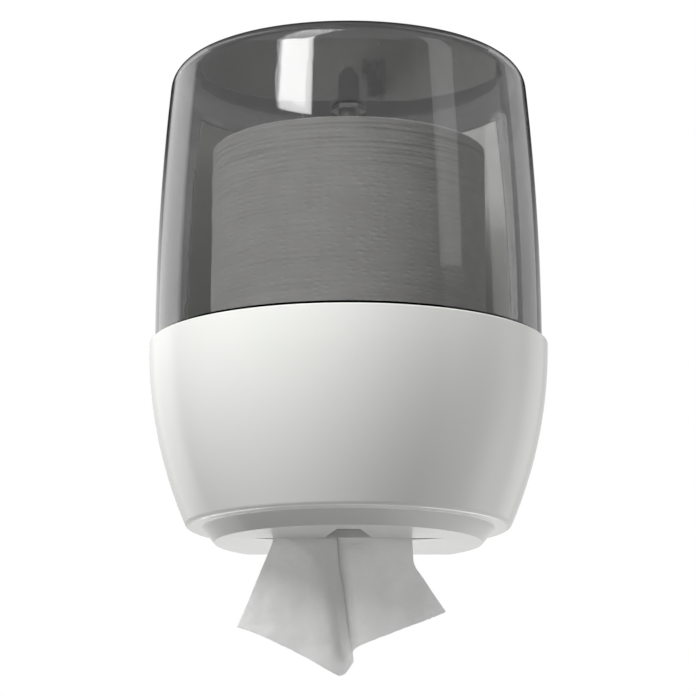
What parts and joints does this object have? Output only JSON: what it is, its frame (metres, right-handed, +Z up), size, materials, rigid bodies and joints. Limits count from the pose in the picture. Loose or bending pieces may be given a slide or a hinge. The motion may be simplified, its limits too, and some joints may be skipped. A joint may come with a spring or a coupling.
{
  "type": "wall roll holder",
  "caption": "Barrel-shaped wall holder for a centre-feed paper roll, with a white drop-down cover, a smoked window, a cam lock and a slit below that the paper is torn at.",
  "frame": {"origin": "centre of the four wall screw holes, on the wall plane", "axes": "+Y into the wall, so the front faces -Y; +Z up"},
  "size_m": [0.27, 0.249, 0.4212],
  "materials": {
    "white_plastic": "gloss moulded white plastic",
    "smoked_plastic": "clear smoked grey plastic",
    "steel": "plain steel",
    "zinc": "plated zinc",
    "paper": "soft embossed paper",
    "grey_plastic": "matt moulded plastic"
  },
  "bodies": {
    "back_frame": {"back_plate": "white_plastic", "strike_plate": "steel", "strike_screws": "steel", "hinge_pin_left": "steel", "hinge_pin_right": "steel", "pin_clips": "steel"},
    "cover": {"lower_shell": "white_plastic", "smoked_window": "smoked_plastic", "window_screws": "steel", "roll_platform": "grey_plastic", "platform_screws": "steel", "outlet_collar": "grey_plastic", "collar_screws": "steel", "lock_sleeve": "zinc", "lock_nut": "zinc", "paper_strand": "paper", "paper_tail": "paper"},
    "lock": {"lock_barrel": "zinc", "lock_cam": "zinc", "cam_screw": "steel"},
    "roll": {"paper_roll": "paper"}
  },
  "joints": [
    {"name": "cover_swing", "type": "hinge", "parent": "back_frame", "child": "cover", "pos_m": [0, -0.057, -0.1545], "axis": [1, 0, 0], "range_deg": [0, 90]},
    {"name": "lock_turn", "type": "hinge", "parent": "cover", "child": "lock", "pos_m": [0, -0.038, 0.16], "axis": [0, 0, -1], "range_deg": [0, 90]},
    {"name": "roll_turn", "type": "hinge", "parent": "cover", "child": "roll", "pos_m": [0, -0.114, 0], "axis": [0, 0, 1], "continuous": true}
  ]
}
